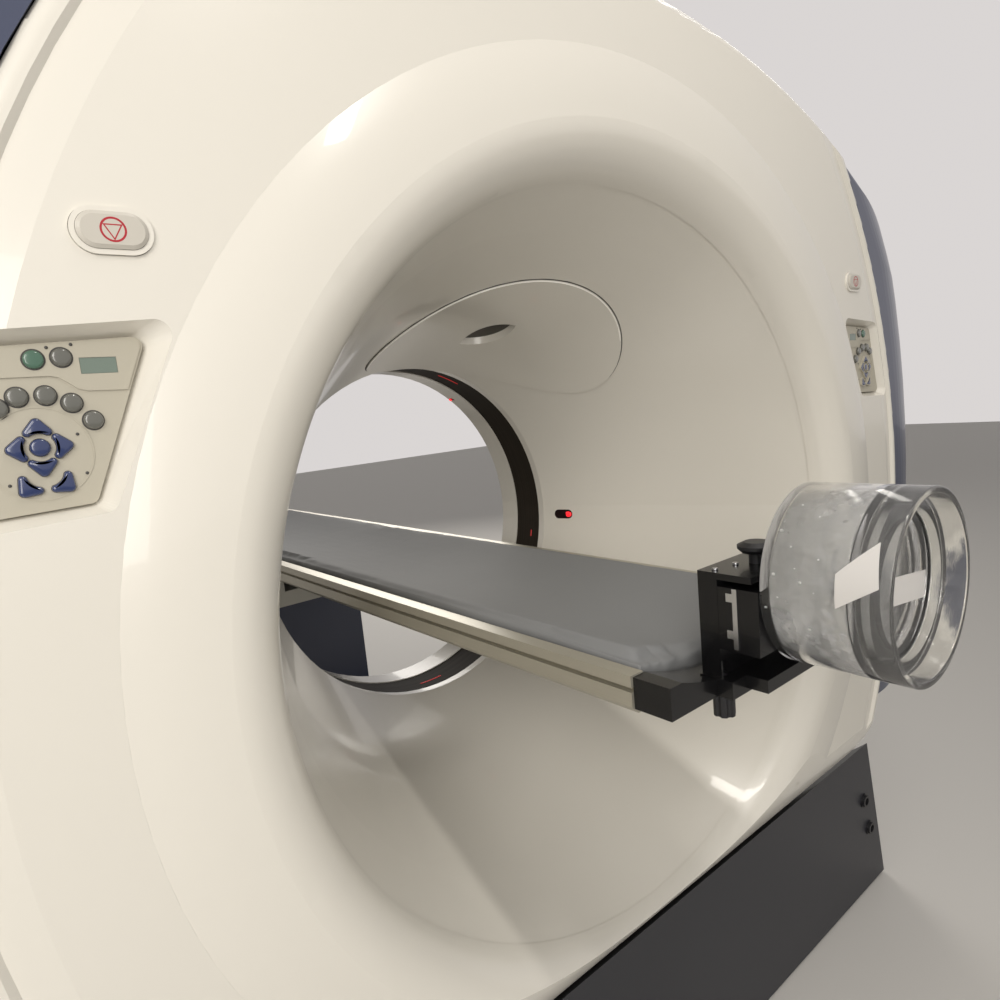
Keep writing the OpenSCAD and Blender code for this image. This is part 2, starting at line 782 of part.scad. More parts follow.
// Tilting frame
module stator_frame() color(steel) on_axis() difference() {
    union() {
        along_y(stator_y, stator_y + stator_t) difference() {
            union() {
                circle(stator_r);
                for (s = [-1, 1]) translate([s * (stator_r - 60), -150]) mirror([s < 0 ? 1 : 0, 0])
                    square([cheek_out - stator_r + 60, 300]);
                translate([motor_x, motor_z]) circle(motor_body_r + 12);
                rotate(-motor_a) translate([stator_r - 60, -motor_body_r])
                    square([motor_r - stator_r + 60, 2 * motor_body_r]);
            }
            circle(race_r - 8);
        }
        both_sides() {
            translate([shaft_in, -110, -150]) cube([cheek_t, 110 + stator_y + stator_t, 300]);
            for (z = [-130, 110]) translate([stator_r - 60, stator_y - 60, z])
                cube([shaft_in - stator_r + 60, 60, 20]);
        }
        about_y() translate([stator_r - 20, stator_y - 20]) square([20, stator_t + 20]);
    }
    both_sides() rotate([0, 90, 0]) translate([0, 0, shaft_in - 1])
        cylinder(r = tilt_shaft_r, h = cheek_t + 2);
    for (i = [0 : 11]) rotate([0, 15 + i * 30, 0]) translate([(race_r + stator_r) / 2 + 20, 0, 0])
        rotate([-90, 0, 0]) cylinder(r = 55, h = big);
    translate([motor_x, 0, motor_z]) rotate([-90, 0, 0]) cylinder(r = 26, h = big);
}

module tilt_shafts() color(steel) on_axis() both_sides() rotate([0, 90, 0]) {
    translate([0, 0, shaft_in]) cylinder(r = tilt_shaft_r, h = upright_out + 14 - shaft_in);
    translate([0, 0, shaft_in - 12]) cylinder(r = tilt_shaft_r + 24, h = 12);
}

// Main bearing
module bearing_outer_race() color(steel) on_axis() about_y()
    translate([race_r, rotor_back + race_step]) square([race_t, race_w]);
module bearing_inner_race() color(steel) on_axis() about_y()
    translate([race_r - race_t, rotor_back]) square([race_t - race_gap, race_w]);

module rotor_frame() color([0.5, 0.52, 0.55]) on_axis() {
    difference() {
        about_y() {
            translate([rotor_bore_r, rotor_y]) square([rotor_r - rotor_bore_r, rotor_t]);
            translate([rotor_bore_r, rotor_y - 25]) square([12, 25]);
        }
        for (i = [0 : 7]) rotate([0, 22.5 + i * 45, 0]) translate([620, 0, 0])
            rotate([-90, 0, 0]) cylinder(r = 34, h = big);
    }
}

module xray_tube() color([0.7, 0.71, 0.72]) on_axis() translate([0, 0, focus_r]) rotate([90, 0, 0]) {
    translate([0, 0, -rotor_y]) cylinder(r = tube_body_r, h = rotor_y + 150);
    translate([0, 0, 150]) cylinder(r = 62, h = 60);
    translate([0, 0, -rotor_y]) cylinder(r = tube_end_r, h = 14);
    for (z = [0 : 5]) translate([0, 0, 90 + z * 10]) cylinder(r = 93, h = 4);
}

// Slit below the tube, on a foot that reaches the rotor frame
module collimator() color(steel) on_axis() difference() {
    slit_top = focus_r - tube_body_r - eps;
    foot_top = focus_r - tube_end_r - 2;
    union() {
        translate([-85, -45, foot_top - 50]) cube([170, rotor_y + 45, 50]);
        translate([-85, -45, foot_top - 1]) cube([170, 89, slit_top - foot_top + 1]);
    }
    translate([-60, -8, foot_top - 51]) cube([120, 16, 100]);
}

module hv_generator() color([0.78, 0.78, 0.74]) on_axis() both_sides() rotate([0, -hv_a, 0]) {
    translate([-90, -150, 470]) cube([180, rotor_y + 150, 180]);
    for (i = [0 : 4]) translate([-70 + i * 34, -156, 490]) cube([6, 6, 140]);
}

// Detector modules side by side on an arc opposite the tube
module detector_array() color([0.2, 0.3, 0.26]) on_axis() rotate([-90, 0, 0])
    rotate_extrude(angle = 2 * detector_a, start = 90 - detector_a) {
        translate([detector_r, -32]) square([30, 64]);
        translate([detector_r + 30, -38]) square([26, rotor_y + 38]);
    }

module data_unit() color([0.3, 0.32, 0.34]) on_axis() {
    for (i = [-2 : 2]) rotate([0, i * 11, 0]) translate([-36, -60, -detector_r - 145])
        cube([72, rotor_y + 60, 84]);
}

module cooling_unit() color([0.6, 0.62, 0.64]) on_axis() rotate([0, -cooling_a, 0]) difference() {
    translate([-110, -120, 455]) cube([220, rotor_y + 120, 150]);
    for (x = [-55, 55]) translate([x, -121, 530]) rotate([-90, 0, 0]) cylinder(r = 46, h = 60);
}

module counterweight() color([0.25, 0.25, 0.27]) on_axis() rotate([0, weight_a, 0])
    translate([-100, -40, 470]) cube([200, rotor_y + 40, 130]);

module slip_ring() color([0.75, 0.55, 0.3]) on_axis() about_y() {
    translate([560, rotor_back]) square([90, 8]);
    for (i = [0 : 3]) translate([566 + i * 22, rotor_back + 8]) square([12, 4]);
}

module brush_block() color(black) on_axis() rotate([0, -60, 0])
    translate([-60, rotor_back + 12 + eps, 562]) cube([120, stator_y - rotor_back - 12 - eps, 86]);

module drive_motor() color([0.2, 0.22, 0.25]) on_axis() translate([motor_x, stator_y + stator_t, motor_z])
    rotate([-90, 0, 0]) difference() {
        union() {
            cylinder(r = motor_body_r, h = 120);
            cylinder(r = motor_body_r + 8, h = 10);
            for (i = [0 : 5]) translate([0, 0, 20 + i * 15]) cylinder(r = motor_body_r + 4, h = 6);
        }
        translate([0, 0, -1]) cylinder(r = spindle_r + shaft_gap, h = 70);
    }

module motor_pulley() color(steel) on_axis() translate([motor_x, rotor_y + 2, motor_z])
    rotate([-90, 0, 0]) {
        cylinder(r = pulley_r, h = rotor_t - 4);
        cylinder(r = spindle_r, h = stator_y + stator_t + 60 - rotor_y - 2);
    }

// Loop round the rotor's rim and the pulley, with straight runs between the tangent points
module belt_loop(grow) rotate(-motor_a) {
    lean = acos((rotor_r - pulley_r) / motor_r);
    polygon(concat(arc_points([0, 0], rotor_r + grow, lean, 360 - lean, 140),
        arc_points([motor_r, 0], pulley_r + grow, -lean, lean, 16)));
}
module drive_belt() color(black) on_axis()
    along_y(rotor_y + (rotor_t - belt_w) / 2, rotor_y + (rotor_t + belt_w) / 2) difference() {
        belt_loop(eps + belt_t);
        belt_loop(eps);
    }

// Couch
module couch_base() color(steel) {
    translate([-ped_half_w - 60, plate_rear, 0])
        cube([2 * ped_half_w + 120, pedestal_y + pedestal_len - stand_rear, floor_t]);
    for (t = rod_places) translate([0, pedestal_y + t * pedestal_len, 0]) difference() {
        cylinder(r = tube_r, h = 520);
        translate([0, 0, floor_t]) cylinder(r = rod_r + shaft_gap, h = big);
    }
}

module box_cover(half_w, y0, y1, z0, z1, wall, top_wall) difference() {
    translate([-half_w, y0, z0]) cube([2 * half_w, y1 - y0, z1 - z0]);
    translate([-half_w + wall, y0 + wall, z0 - 1])
        cube([2 * (half_w - wall), y1 - y0 - 2 * wall, z1 - z0 + 1 - top_wall]);
}
module couch_lower_cover() color(cover_white)
    box_cover(ped_half_w, pedestal_y, pedestal_y + pedestal_len, floor_t, lower_cover_h, 6, -2);
module couch_upper_cover() color(cover_blue)
    box_cover(ped_half_w + 12, pedestal_y - 12, pedestal_y + pedestal_len + 12, lower_cover_h - 180,
        axis_h + frame_low, 6, 6);

module lift_rods() color(steel) for (t = rod_places) translate([0, pedestal_y + t * pedestal_len, 130])
    cylinder(r = rod_r, h = axis_h + frame_low - 136);

// Folded channel: a trough between two side beams, all of sheet, with closed ends
module couch_frame() color(cover_white) on_axis() difference() {
    beam_w = 50;
    trough_d = 60;
    inner_l = couch_len - 2 * frame_t;
    translate([-frame_half_w, couch_front, frame_low]) cube([2 * frame_half_w, couch_len, frame_h]);
    translate([-frame_half_w + beam_w, couch_front - 1, lift_z - trough_d])
        cube([2 * (frame_half_w - beam_w), couch_len + 2, trough_d + 1]);
    translate([-frame_half_w + frame_t, couch_front + frame_t, frame_low - 1])
        cube([2 * (frame_half_w - frame_t), inner_l, frame_h - trough_d - frame_t + 1]);
    for (s = [-1, 1]) translate([s * (frame_half_w - beam_w / 2) - beam_w / 2 + frame_t,
        couch_front + frame_t, frame_low + frame_t])
        cube([beam_w - 2 * frame_t, inner_l, frame_h - 2 * frame_t]);
}

module couch_top() color([0.2, 0.2, 0.21]) on_axis() {
    along_y(-top_end, -top_end + top_len) {
        difference() {
            intersection() {
                translate([0, tray_c]) circle(tray_r + tray_t);
                translate([-top_half_w + rail_w, -big]) square([2 * (top_half_w - rail_w), big]);
            }
            translate([0, tray_c]) circle(tray_r);
        }
        for (s = [-1, 1]) translate([s * 145 - 12, runner_z]) square([24, 30]);
    }
}

module couch_rails() color([0.85, 0.8, 0.66]) on_axis() both_sides()
    along_y(-top_end, -top_end + top_len) difference() {
        translate([top_half_w - rail_w, -rail_drop - rail_h]) square([rail_w, rail_h]);
        translate([top_half_w - 9, -rail_drop - 20]) square([10, 6]);
        translate([top_half_w, -rail_drop - rail_h]) rotate(45) square(14, center = true);
    }

module couch_pad() color([0.5, 0.51, 0.53]) on_axis() along_y(-top_end + 6, -top_end + top_len - 20)
    intersection() {
        difference() {
            translate([0, tray_c]) circle(tray_r - eps);
            translate([0, tray_c]) circle(tray_r - pad_t);
        }
        translate([-pad_half_w, -big]) square([2 * pad_half_w, big]);
    }

// Phantom holder at the free end of the couch top
module holder_base() color(black) on_axis() difference() {
    union() {
        along_y(-holder_y - plate_d, -top_end) difference() {
            translate([-top_half_w + 4, -rail_drop - 41]) square([2 * top_half_w - 8, 39]);
            translate([0, tray_c]) circle(tray_r - 12);
        }
        translate([-holder_half_w, -holder_y - plate_d, holder_low - 35])
            cube([2 * holder_half_w, plate_d, holder_top - holder_low + 35]);
        translate([-holder_half_w + 20, 4 - phantom_far, holder_low - 34])
            cube([2 * holder_half_w - 40, block_d - 4, 16]);
        translate([-holder_half_w - 8, -screw_y - 22, holder_low - 40]) cube([40, 44, 22]);
        translate([-holder_half_w, 8 - phantom_far, flange_low])
            cube([2 * holder_half_w, block_d - 8, flange_t]);
    }
    translate([screw_x, -screw_y, holder_low - 60]) cylinder(r = 5 + shaft_gap, h = 60);
    for (x = [-60, 60]) translate([x - 7, -holder_y - plate_d - 1, holder_low + 6])
        cube([14, 9, holder_top - holder_low - 12]);
    translate([knob_x, -knob_y, flange_low - 1]) cylinder(r = height_screw_r + shaft_gap, h = 60);
}

// Block that carries the drum: it slides up and down in the plate's slots on the height screw
module holder_slide() color(black) on_axis() {
    difference() {
        translate([-holder_half_w, -phantom_far, holder_low + 16])
            cube([2 * holder_half_w, slide_d, block_top - holder_low - 16]);
        translate([knob_x, -knob_y, holder_low]) cylinder(r = height_screw_r + shaft_gap, h = 200);
    }
    for (x = [-60, 60]) translate([x - 6.8, -holder_y - plate_d - 1, holder_low + 38])
        cube([13.6, 8.5, 40]);
}

module holder_scale() color([0.85, 0.86, 0.88]) on_axis()
    translate([-holder_half_w - 1.5, -holder_y - block_d + 26, holder_low + 20]) {
        cube([1.5, 6, block_top - holder_low - 20]);
        for (z = [12, 56]) translate([0, 6, z]) cube([1.5, 8, 10]);
    }

module height_knob() color(black) on_axis() translate([knob_x, -knob_y, 0]) {
    translate([0, 0, -30]) cylinder(r = height_screw_r, h = holder_top + 40);
    translate([0, 0, holder_top]) cylinder(r = 9, h = 14);
    translate([0, 0, holder_top + 13]) cylinder(r1 = knob_r - 5, r2 = knob_r, h = 5);
    translate([0, 0, holder_top + 18]) cylinder(r = knob_r, h = 4);
    translate([0, 0, holder_top + 22]) cylinder(r1 = knob_r, r2 = knob_r - 8, h = 4);
}

module clamp_knob() color(black) on_axis() translate([screw_x, -screw_y, 0]) {
    translate([0, 0, holder_low - 60]) cylinder(r = 5, h = 42);
    translate([0, 0, holder_low - 68]) difference() {
        cylinder(r = 13, h = 27);
        for (i = [0 : 5]) rotate(i * 60) translate([15, 0, -1]) cylinder(r = 4, h = 30);
    }
}

// Drum with a closed water space at its far side and an open recess at its near end
module phantom_body() color(acrylic) on_axis() translate([0, -phantom_far, phantom_z])
    rotate([90, 0, 0]) difference() {
        cylinder(r = phantom_r, h = phantom_len);
        translate([0, 0, phantom_t]) cylinder(r = phantom_r - phantom_t, h = water_len);
        translate([0, 0, recess_start]) cylinder(r = phantom_r - phantom_t, h = phantom_len);
    }

module phantom_insert() color([0.8, 0.85, 0.86, 0.5]) on_axis()
    translate([0, -phantom_far, phantom_z]) rotate([90, 0, 0])
        translate([0, 0, recess_start]) difference() {
            cylinder(r = phantom_r - phantom_t - eps, h = 14);
            translate([0, 0, -1]) cylinder(r = phantom_r - 3 * phantom_t, h = 20);
        }

base_frame();
base_front_cover();
upright_left();
upright_right();
tilt_bearings();
base_sockets();
stator_frame();
tilt_shafts();
front_cover();
rear_cover();
side_cover_left();
side_cover_right();
scan_window();
flare_insert();
indicator_window();
laser_windows();
control_plate_left();
control_plate_right();
displays();
estop_rims();
estop_left();
estop_right();
key_centre();
key_up();
key_down();
key_in();
key_out();
key_home();
key_light();
bearing_outer_race();
bearing_inner_race();
rotor_frame();
xray_tube();
collimator();
hv_generator();
detector_array();
data_unit();
cooling_unit();
counterweight();
slip_ring();
brush_block();
drive_motor();
motor_pulley();
drive_belt();
couch_base();
couch_lower_cover();
couch_upper_cover();
lift_rods();
couch_frame();
couch_top();
couch_rails();
couch_pad();
holder_base();
holder_slide();
holder_scale();
height_knob();
clamp_knob();
phantom_body();
phantom_insert();
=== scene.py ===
import bmesh
import bpy
import math
from mathutils import Matrix, Vector


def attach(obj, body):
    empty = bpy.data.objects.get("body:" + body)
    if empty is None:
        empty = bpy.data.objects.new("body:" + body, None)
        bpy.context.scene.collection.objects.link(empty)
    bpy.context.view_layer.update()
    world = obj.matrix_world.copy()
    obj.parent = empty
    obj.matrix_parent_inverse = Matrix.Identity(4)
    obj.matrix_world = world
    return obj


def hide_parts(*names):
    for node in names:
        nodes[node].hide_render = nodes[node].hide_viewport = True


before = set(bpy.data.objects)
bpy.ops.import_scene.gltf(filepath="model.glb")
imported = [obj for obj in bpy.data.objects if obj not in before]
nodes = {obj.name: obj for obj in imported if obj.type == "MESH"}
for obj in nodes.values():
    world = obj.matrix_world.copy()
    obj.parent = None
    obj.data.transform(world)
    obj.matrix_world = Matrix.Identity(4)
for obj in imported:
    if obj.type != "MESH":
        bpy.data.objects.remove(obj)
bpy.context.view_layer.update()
print("frame loaded")


# Shader groups

def newGroup(name, inputs, outputs):
    group = bpy.data.node_groups.new(name, "ShaderNodeTree")
    for label, kind, value in inputs:
        socket = group.interface.new_socket(name=label, in_out="INPUT", socket_type=kind)
        socket.default_value = value
    for label, kind in outputs:
        group.interface.new_socket(name=label, in_out="OUTPUT", socket_type=kind)
    enter = group.nodes.new("NodeGroupInput")
    leave = group.nodes.new("NodeGroupOutput")
    return group, enter, leave


def addNode(tree, kind, **values):
    made = tree.nodes.new(kind)
    for key, value in values.items():
        setattr(made, key, value)
    return made


def makeGrain():
    # Fine grain and slow waviness of a moulded or painted surface, and a slow mottle from 0 to 1
    group, enter, leave = newGroup(
        "surfaceGrain",
        [("Grain Scale", "NodeSocketFloat", 900.0), ("Grain Height", "NodeSocketFloat", 0.00002),
         ("Wave Scale", "NodeSocketFloat", 3.0), ("Wave Height", "NodeSocketFloat", 0.0)],
        [("Normal", "NodeSocketVector"), ("Mottle", "NodeSocketFloat")])
    place = addNode(group, "ShaderNodeTexCoord")
    fine = addNode(group, "ShaderNodeTexNoise")
    fine.inputs["Detail"].default_value = 3.0
    slow = addNode(group, "ShaderNodeTexNoise")
    slow.inputs["Detail"].default_value = 2.0
    mottle = addNode(group, "ShaderNodeTexNoise")
    mottle.inputs["Scale"].default_value = 2.3
    mottle.inputs["Detail"].default_value = 5.0
    waveBump = addNode(group, "ShaderNodeBump")
    fineBump = addNode(group, "ShaderNodeBump")
    link = group.links.new
    for texture in (fine, slow, mottle):
        link(place.outputs["Object"], texture.inputs["Vector"])
    link(enter.outputs["Grain Scale"], fine.inputs["Scale"])
    link(enter.outputs["Wave Scale"], slow.inputs["Scale"])
    link(slow.outputs["Fac"], waveBump.inputs["Height"])
    link(enter.outputs["Wave Height"], waveBump.inputs["Distance"])
    link(fine.outputs["Fac"], fineBump.inputs["Height"])
    link(enter.outputs["Grain Height"], fineBump.inputs["Distance"])
    link(waveBump.outputs["Normal"], fineBump.inputs["Normal"])
    link(fineBump.outputs["Normal"], leave.inputs["Normal"])
    link(mottle.outputs["Fac"], leave.inputs["Mottle"])
    return group


def makeBrushed():
    # Fine lines along one axis, for drawn or turned metal
    group, enter, leave = newGroup(
        "brushedLines",
        [("Stretch", "NodeSocketVector", (900.0, 6.0, 900.0)), ("Depth", "NodeSocketFloat", 0.00002)],
        [("Normal", "NodeSocketVector"), ("Lines", "NodeSocketFloat")])
    place = addNode(group, "ShaderNodeTexCoord")
    mapping = addNode(group, "ShaderNodeMapping")
    noise = addNode(group, "ShaderNodeTexNoise")
    noise.inputs["Scale"].default_value = 1.0
    noise.inputs["Detail"].default_value = 4.0
    bump = addNode(group, "ShaderNodeBump")
    link = group.links.new
    link(place.outputs["Object"], mapping.inputs["Vector"])
    link(enter.outputs["Stretch"], mapping.inputs["Scale"])
    link(mapping.outputs["Vector"], noise.inputs["Vector"])
    link(noise.outputs["Fac"], bump.inputs["Height"])
    link(enter.outputs["Depth"], bump.inputs["Distance"])
    link(bump.outputs["Normal"], leave.inputs["Normal"])
    link(noise.outputs["Fac"], leave.inputs["Lines"])
    return group


grainGroup = makeGrain()
brushedGroup = makeBrushed()


def baseMaterial(name, color, roughness, metallic=0.0, coat=0.0, spread=0.04, **settings):
    # A material whose colour wanders by the spread to both sides of the one given
    material = bpy.data.materials.new(name)
    material.use_nodes = True
    tree = material.node_tree
    shader = tree.nodes["Principled BSDF"]
    shader.inputs["Roughness"].default_value = roughness
    shader.inputs["Metallic"].default_value = metallic
    shader.inputs["Coat Weight"].default_value = coat
    for key, value in settings.items():
        shader.inputs[key.replace("_", " ")].default_value = value
    mix = addNode(tree, "ShaderNodeMix", data_type="RGBA")
    darker, lighter = [socket for socket in mix.inputs if socket.type == "RGBA"]
    result = [socket for socket in mix.outputs if socket.type == "RGBA"][0]
    darker.default_value = [c * (1 - spread) for c in color] + [1]
    lighter.default_value = [min(c * (1 + spread), 1) for c in color] + [1]
    tree.links.new(result, shader.inputs["Base Color"])
    return material, tree, shader, mix.inputs[0]


def grained(name, color, roughness, grainScale=900, grainHeight=0.00002, waveScale=3,
            waveHeight=0.0, **settings):
    material, tree, shader, factor = baseMaterial(name, color, roughness, **settings)
    grain = addNode(tree, "ShaderNodeGroup", node_tree=grainGroup)
    grain.inputs["Grain Scale"].default_value = grainScale
    grain.inputs["Grain Height"].default_value = grainHeight
    grain.inputs["Wave Scale"].default_value = waveScale
    grain.inputs["Wave Height"].default_value = waveHeight
    tree.links.new(grain.outputs["Normal"], shader.inputs["Normal"])
    tree.links.new(grain.outputs["Mottle"], factor)
    return material


def brushed(name, color, roughness, stretch=(900, 6, 900), depth=0.00002, metallic=1.0, **settings):
    material, tree, shader, factor = baseMaterial(name, color, roughness, metallic=metallic, **settings)
    lines = addNode(tree, "ShaderNodeGroup", node_tree=brushedGroup)
    lines.inputs["Stretch"].default_value = stretch
    lines.inputs["Depth"].default_value = depth
    tree.links.new(lines.outputs["Normal"], shader.inputs["Normal"])
    tree.links.new(lines.outputs["Lines"], factor)
    return material


def dress(material, *names):
    for name in names:
        nodes[name].data.materials.clear()
        nodes[name].data.materials.append(material)
        nodes[name].data.polygons.foreach_set("material_index", [0] * len(nodes[name].data.polygons))


# Gantry covers
cover = {"white": (0.80, 0.77, 0.70), "roughness": 0.24, "coat": 0.35, "wave": 0.00035,
         "blue": (0.055, 0.066, 0.115), "blueRoughness": 0.3, "blueCoat": 0.3, "blueWave": 0.0002,
         "edge": (0.93, 0.90, 0.84), "edgeHighlightGlow": (1.0, 0.95, 0.86, 1), "edgeHighlightStrength": 0.14}
coverWhite = grained("coverWhite", cover["white"], cover["roughness"], coat=cover["coat"],
                     grainHeight=0.000008, waveScale=4, waveHeight=cover["wave"], spread=0.015)
# The leaf panel's edge strip is lighter than the cover and glows faintly: a painted highlight on its rounded
# edge
paintedHighlightEdge = grained("paintedHighlightEdge", cover["edge"], 0.1, coat=1.0, spread=0.01,
                    Emission_Strength=cover["edgeHighlightStrength"], Emission_Color=cover["edgeHighlightGlow"])
coverBlue = grained("coverBlue", cover["blue"], cover["blueRoughness"], coat=cover["blueCoat"],
                    grainHeight=0.00001, waveHeight=cover["blueWave"], spread=0.05)
dress(coverWhite, "front_cover", "rear_cover", "flare_insert", "couch_lower_cover", "estop_rims")
dress(coverBlue, "side_cover_left", "side_cover_right", "couch_upper_cover")

# Scan window and laser windows
window = {"brown": (0.030, 0.024, 0.018), "roughness": 0.6, "lines": (2, 260, 2),
          "indicator": (0.055, 0.05, 0.04), "laser": (0.012, 0.003, 0.004)}
dress(brushed("windowBrown", window["brown"], window["roughness"], stretch=window["lines"],
              metallic=0.0, spread=0.45, Specular_IOR_Level=0.08), "scan_window")
dress(grained("indicatorGlass", window["indicator"], 0.3, spread=0.3), "indicator_window")
dress(grained("laserGlass", window["laser"], 0.12, coat=0.3), "laser_windows")

# Control panels and laser light
panel = {"beige": (0.47, 0.44, 0.36), "blue": (0.026, 0.042, 0.125), "grey": (0.13, 0.13, 0.115),
         "green": (0.07, 0.15, 0.105), "stop": (0.58, 0.55, 0.49), "line": (0.05, 0.048, 0.045),
         "mark": (0.42, 0.02, 0.035), "display": (0.17, 0.22, 0.185)}
laser = {"lens": (0.5, 0.005, 0.01), "lensLight": (1.0, 0.02, 0.03, 1), "lensStrength": 1.2,
         "glow": (0.20, 0.012, 0.012), "glowLight": (1.0, 0.03, 0.03, 1), "glowStrength": 0.35}
blueKeys = ("key_centre", "key_up", "key_down", "key_in", "key_out", "key_home", "key_light")
dress(grained("panelBeige", panel["beige"], 0.42, grainScale=2500, grainHeight=0.00003),
      "control_plate_left", "control_plate_right")
keyBlue = grained("keyBlue", panel["blue"], 0.16, coat=0.8)
dress(keyBlue, *blueKeys)
keyGrey = grained("keyGrey", panel["grey"], 0.18, coat=0.8)
dress(grained("stopGrey", panel["stop"], 0.38, coat=0.15), "estop_left", "estop_right")
lineDark = grained("lineDark", panel["line"], 0.5)
markRed = grained("markRed", panel["mark"], 0.4)
laserRed = grained("laserRed", laser["lens"], 0.15, coat=0.5, Emission_Color=laser["lensLight"],
                   Emission_Strength=laser["lensStrength"])
glowRed = grained("glowRed", laser["glow"], 0.3, Emission_Color=laser["glowLight"],
                  Emission_Strength=laser["glowStrength"])
keyGreen = grained("keyGreen", panel["green"], 0.2, coat=0.6)
labelWhite = grained("labelWhite", (0.74, 0.72, 0.70), 0.45)
dress(grained("displayGlass", panel["display"], 0.15, coat=0.5), "displays")

# Stand
stand = {"paint": (0.024, 0.025, 0.032), "frame": (0.26, 0.28, 0.31),
         "plastic": (0.012, 0.012, 0.014), "steel": (0.55, 0.56, 0.58)}
dress(grained("standPaint", stand["paint"], 0.42, grainHeight=0.00004), "base_frame",
      "base_front_cover")
dress(grained("framePaint", stand["frame"], 0.45), "upright_left", "upright_right",
      "stator_frame", "couch_base")
dress(grained("blackPlastic", stand["plastic"], 0.4), "base_sockets", "brush_block",
      "height_knob", "clamp_knob")
steel = brushed("steel", stand["steel"], 0.3)
dress(steel, "tilt_bearings", "tilt_shafts", "bearing_outer_race", "bearing_inner_race",
      "motor_pulley", "collimator", "lift_rods")

# Rotor
rotor = {"frame": (0.6, 0.61, 0.63), "tube": (0.55, 0.56, 0.56), "supply": (0.52, 0.5, 0.42),
         "detector": (0.03, 0.12, 0.06), "data": (0.1, 0.11, 0.12), "iron": (0.05, 0.05, 0.055),
         "brass": (0.75, 0.5, 0.22), "belt": (0.012, 0.012, 0.012)}
dress(brushed("rotorAluminium", rotor["frame"], 0.38, stretch=(60, 60, 60)), "rotor_frame")
dress(grained("tubeHousing", rotor["tube"], 0.4), "xray_tube", "cooling_unit")
dress(grained("unitBeige", rotor["supply"], 0.45), "hv_generator")
dress(grained("circuitGreen", rotor["detector"], 0.4), "detector_array")
dress(grained("unitGrey", rotor["data"], 0.45), "data_unit", "drive_motor")
dress(grained("iron", rotor["iron"], 0.55), "counterweight")
dress(brushed("slipBrass", rotor["brass"], 0.25), "slip_ring")
dress(grained("beltRubber", rotor["belt"], 0.7), "drive_belt")

# Couch, holder and drum
couch = {"pad": (0.235, 0.24, 0.245), "rail": (0.50, 0.475, 0.40), "carbon": (0.03, 0.03, 0.033),
         "paint": (0.62, 0.61, 0.56), "holder": (0.008, 0.008, 0.009), "scale": (0.7, 0.71, 0.73)}
drumLook = {"acrylic": (0.97, 0.975, 0.97), "water": (0.92, 0.92, 0.89), "bubble": (0.86, 0.86, 0.84)}
dress(grained("couchPaint", couch["paint"], 0.4), "couch_frame")
dress(grained("carbon", couch["carbon"], 0.3, coat=0.4), "couch_top")
dress(brushed("railMetal", couch["rail"], 0.38, stretch=(700, 3, 700), metallic=0.6), "couch_rails")
padFabric = grained("padFabric", couch["pad"], 0.7, grainScale=1500, grainHeight=0.0001, waveScale=12,
                    waveHeight=0.002)
dress(padFabric, "couch_pad")
dress(grained("holderBlack", couch["holder"], 0.26, metallic=0.3, coat=0.2), "holder_base",
      "holder_slide")
dress(brushed("scaleSteel", couch["scale"], 0.25, stretch=(900, 900, 8)), "holder_scale")
acrylic = grained("acrylic", drumLook["acrylic"], 0.02, waveScale=26, waveHeight=0.0004, IOR=1.49,
                  Transmission_Weight=0.96)
drumWater = grained("drumWater", drumLook["water"], 0.14, waveScale=30, waveHeight=0.014, spread=0.15,
                    IOR=1.33, Transmission_Weight=0.72)
# The bubbles are opaque and white: painted glints
paintedGlintBubbles = grained("paintedGlintBubbles", drumLook["bubble"], 0.08, coat=1.0)
dress(acrylic, "phantom_body", "phantom_insert")
print("materials set")


# Modelling helpers

def unselect():
    if bpy.context.object and bpy.context.object.mode != "OBJECT":
        bpy.ops.object.mode_set(mode="OBJECT")
    bpy.ops.object.select_all(action="DESELECT")


def selectOnly(piece):
    unselect()
    piece.select_set(True)
    bpy.context.view_layer.objects.active = piece


def editAll():
    # Opens the active piece for editing, with all of it selected
    bpy.ops.object.mode_set(mode="EDIT")
    bpy.ops.mesh.select_all(action="SELECT")


def faceOutward():
    editAll()
    bpy.ops.mesh.normals_make_consistent(inside=False)
    bpy.ops.object.mode_set(mode="OBJECT")


def isSharp(edge):
    # Turns by more than a radian
    return len(edge.link_faces) == 2 and edge.calc_face_angle(0) > 1


def roundEdges(piece, test, reach, steps):
    # Rounds over those edges of the active piece that pass the test
    bpy.ops.object.mode_set(mode="EDIT")
    mesh = bmesh.from_edit_mesh(piece.data)
    for part in list(mesh.verts) + list(mesh.edges) + list(mesh.faces):
        part.select_set(False)
    bpy.context.tool_settings.mesh_select_mode = (False, True, False)
    for edge in mesh.edges:
        if test(edge):
            edge.select_set(True)
    mesh.select_flush_mode()
    bmesh.update_edit_mesh(piece.data)
    bpy.ops.mesh.bevel(offset=reach, segments=steps, affect="EDGES")
    bpy.ops.object.mode_set(mode="OBJECT")


def copyOf(node, name):
    # A mesh of its own from a CAD node, with its loose triangles merged
    piece = bpy.data.objects.new(name, nodes[node].data.copy())
    bpy.context.scene.collection.objects.link(piece)
    selectOnly(piece)
    editAll()
    bpy.ops.mesh.remove_doubles(threshold=0.000002)
    bpy.ops.mesh.dissolve_limited(angle_limit=math.radians(1))
    bpy.ops.object.mode_set(mode="OBJECT")
    return piece


def settle(piece, name, body, material, smooth=None):
    # Places go into the mesh, and the piece gets its finish and its body
    selectOnly(piece)
    bpy.ops.object.transform_apply(location=True, rotation=True, scale=True)
    piece.name = name
    piece.data.name = name
    piece.data.materials.clear()
    piece.data.materials.append(material)
    if smooth:
        bpy.ops.object.shade_smooth_by_angle(angle=math.radians(smooth))
    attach(piece, body)
    return piece


def applyAll(piece):
    selectOnly(piece)
    for modifier in list(piece.modifiers):
        bpy.ops.object.modifier_apply(modifier=modifier.name)


